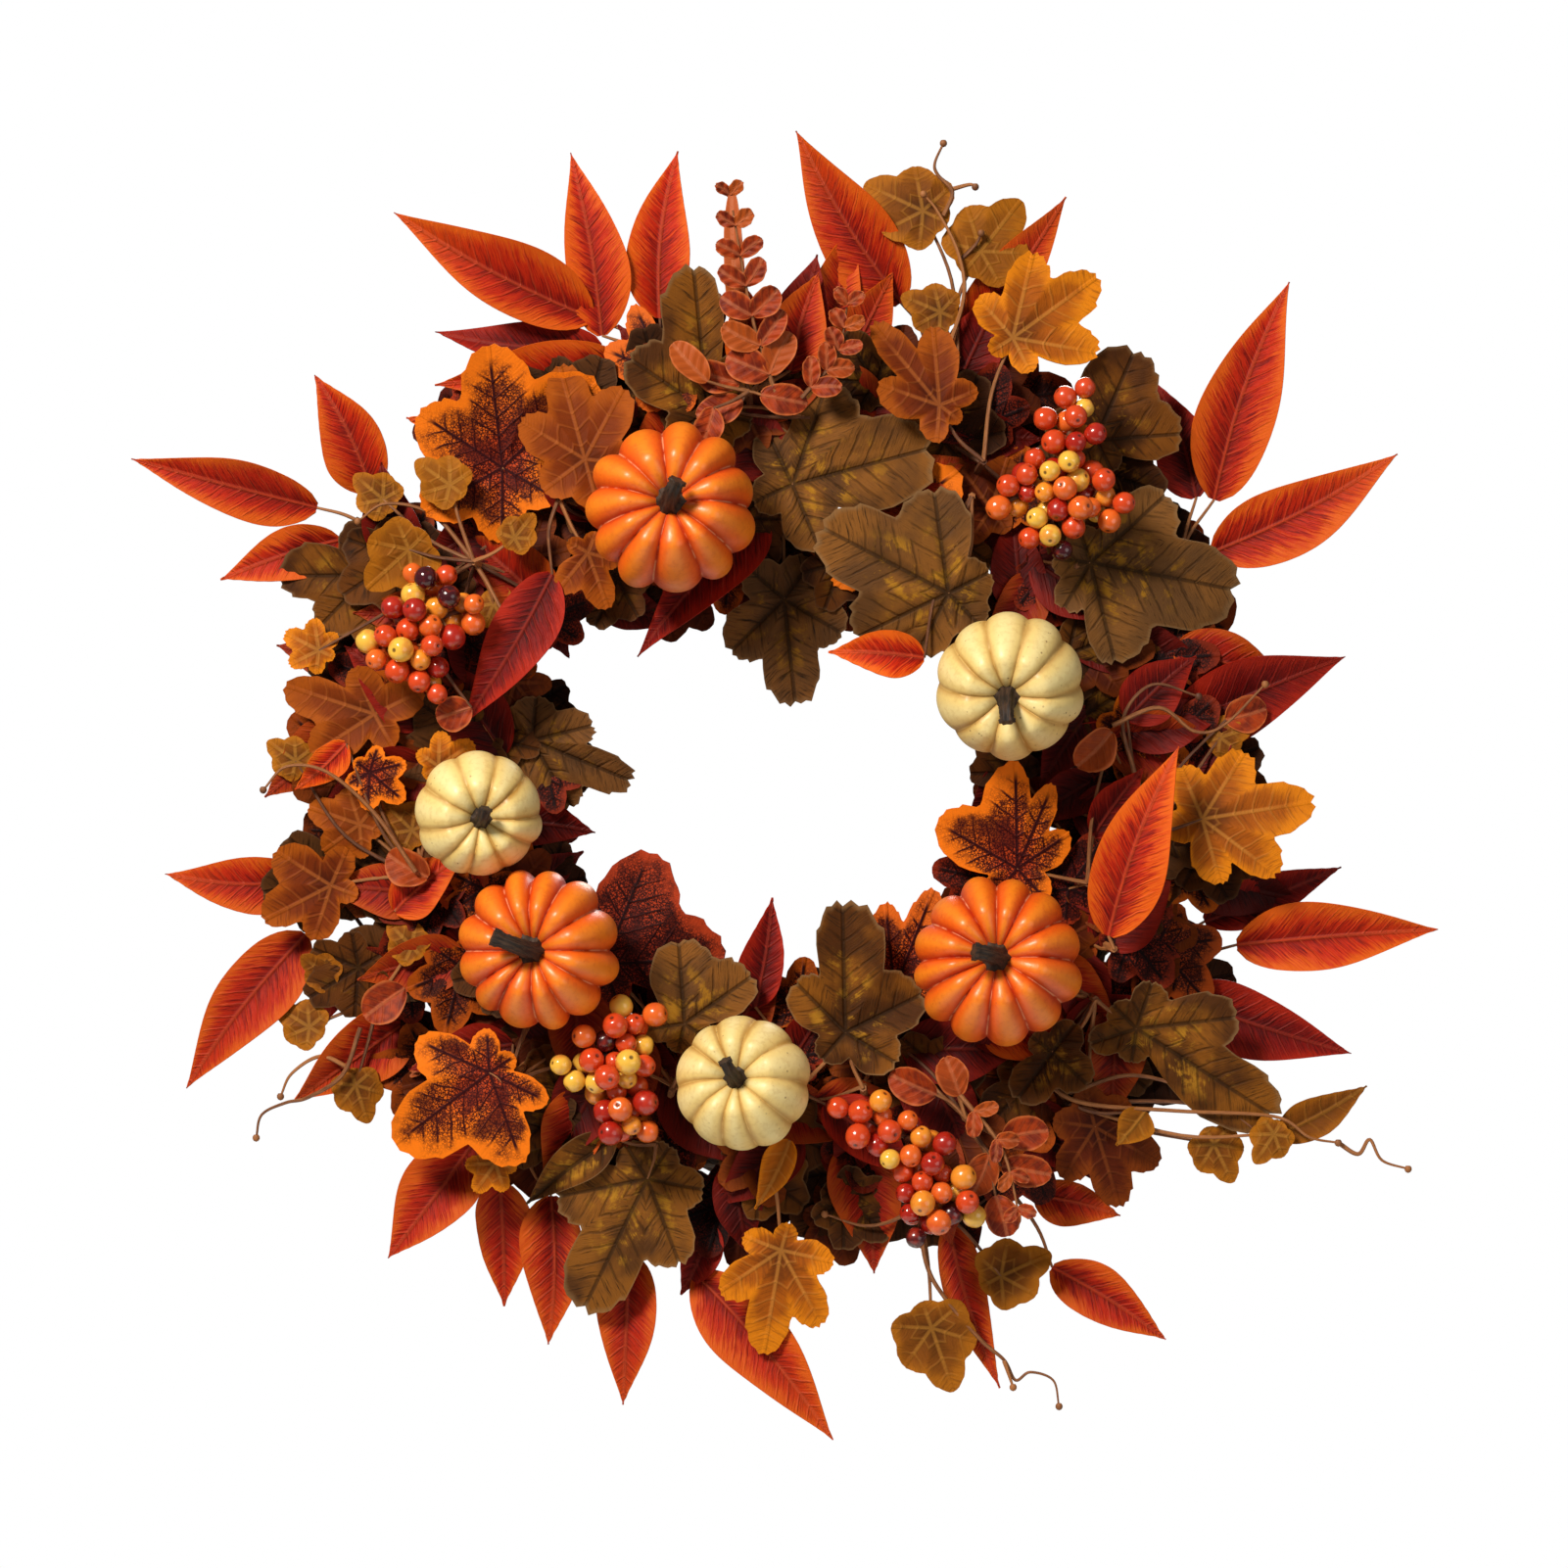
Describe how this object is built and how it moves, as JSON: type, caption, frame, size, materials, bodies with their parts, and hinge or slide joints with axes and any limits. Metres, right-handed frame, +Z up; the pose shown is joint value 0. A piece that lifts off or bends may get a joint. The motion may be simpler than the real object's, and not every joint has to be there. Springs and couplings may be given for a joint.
{
  "type": "door wreath",
  "caption": "Round grapevine door wreath with foam pumpkins, autumn leaf sprays and berries, hung by a hinged wire loop.",
  "frame": {"origin": "the hook's seat, inside the top of the wire loop on the wreath's back", "axes": "+Z up, the wreath's front faces -Y, +X to the right of someone facing it"},
  "size_m": [0.45, 0.1171, 0.452],
  "materials": {
    "vine": "rough twisted grapevine with bark ridges",
    "hanger": "plain steel wire and band",
    "pumpkin_orange": "painted foam, satin, pale grooves",
    "pumpkin_cream": "painted foam, satin, faint speckle",
    "pumpkin_stem": "dark ridged foam stem",
    "lance_leaf": "printed polyester, coral with a burgundy midrib",
    "burgundy_leaf": "printed polyester, burgundy",
    "grape_leaf": "printed polyester, olive brown with gold mottles",
    "amber_leaf": "printed polyester, gold to amber",
    "maple_leaf": "printed polyester, orange edge and burgundy centre",
    "ivy_leaf": "printed polyester, olive gold",
    "eucalyptus_leaf": "printed polyester, rust",
    "berry": "lacquered foam berries, yellow to red"
  },
  "bodies": {
    "wreath": {"amber_leaf_right": "amber_leaf", "amber_spray_bottom": "amber_leaf", "amber_spray_left": "amber_leaf", "amber_spray_left_top": "amber_leaf", "amber_spray_top": "amber_leaf", "berry_spray_bottom": "berry", "berry_spray_bottom_left": "berry", "berry_spray_left": "berry", "berry_spray_top": "berry", "eucalyptus_spray_bottom": "eucalyptus_leaf", "eucalyptus_spray_top": "eucalyptus_leaf", "grape_leaf_bottom": "grape_leaf", "grape_leaf_bottom_left": "grape_leaf", "grape_spray_inner": "grape_leaf", "grape_spray_left": "grape_leaf", "grape_spray_low": "grape_leaf", "grape_spray_right_high": "grape_leaf", "grape_spray_right_low": "grape_leaf", "grape_spray_top": "grape_leaf", "hanger_strap": "hanger", "ivy_spray_bottom": "ivy_leaf", "ivy_spray_left_high": "ivy_leaf", "ivy_vine_left": "ivy_leaf", "ivy_vine_right": "ivy_leaf", "ivy_vine_top": "ivy_leaf", "lance_leaf_right_front": "lance_leaf", "lance_spray_bottom": "lance_leaf", "lance_spray_bottom_left": "lance_leaf", "lance_spray_bottom_right": "lance_leaf", "lance_spray_left_high": "lance_leaf", "lance_spray_left_low": "lance_leaf", "lance_spray_right_high": "lance_leaf", "lance_spray_right_low": "lance_leaf", "lance_spray_top": "lance_leaf", "lance_spray_top_left": "lance_leaf", "maple_leaf_left_low": "maple_leaf", "maple_spray_left_high": "maple_leaf", "maple_spray_low": "maple_leaf", "maple_spray_right": "maple_leaf", "maple_spray_top": "maple_leaf", "pumpkin_cream_bottom": "pumpkin_cream", "pumpkin_cream_bottom_stem": "pumpkin_stem", "pumpkin_cream_left": "pumpkin_cream", "pumpkin_cream_left_stem": "pumpkin_stem", "pumpkin_cream_right": "pumpkin_cream", "pumpkin_cream_right_stem": "pumpkin_stem", "pumpkin_orange_left": "pumpkin_orange", "pumpkin_orange_left_stem": "pumpkin_stem", "pumpkin_orange_right": "pumpkin_orange", "pumpkin_orange_right_stem": "pumpkin_stem", "pumpkin_orange_top": "pumpkin_orange", "pumpkin_orange_top_stem": "pumpkin_stem", "shade_spray_top": "burgundy_leaf", "vine_core": "vine", "vine_strand_1": "vine", "vine_strand_2": "vine", "vine_strand_3": "vine", "vine_strand_4": "vine"},
    "hanger": {"hanger_loop": "hanger"}
  },
  "joints": [
    {"name": "hanger_swing", "type": "hinge", "parent": "wreath", "child": "hanger", "pos_m": [0, 0, -0.022], "axis": [1, 0, 0], "range_deg": [-178, 15]}
  ]
}
